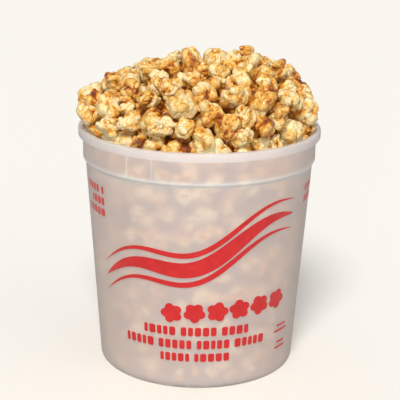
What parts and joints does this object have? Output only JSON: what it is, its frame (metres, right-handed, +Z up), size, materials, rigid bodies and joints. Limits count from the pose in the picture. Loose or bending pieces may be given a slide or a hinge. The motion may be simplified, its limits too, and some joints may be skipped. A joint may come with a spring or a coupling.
{
  "type": "bucket of popcorn",
  "caption": "Round tapered translucent plastic tub with a stepped collar and rolled lip, heaped above the rim with caramel popcorn.",
  "frame": {"origin": "centre of the foot ring, on the surface that the tub stands on", "axes": "+Z up along the tub's axis, -Y towards the printed front"},
  "size_m": [0.2128, 0.21, 0.2799],
  "materials": {
    "frosted_plastic": "milky translucent, satin",
    "caramel_corn": "cream popped corn with a glossy amber caramel glaze",
    "print_ink": "red screen-printed ink"
  },
  "bodies": {
    "root": {"tub": "frosted_plastic", "popcorn": "caramel_corn"}
  },
  "joints": []
}
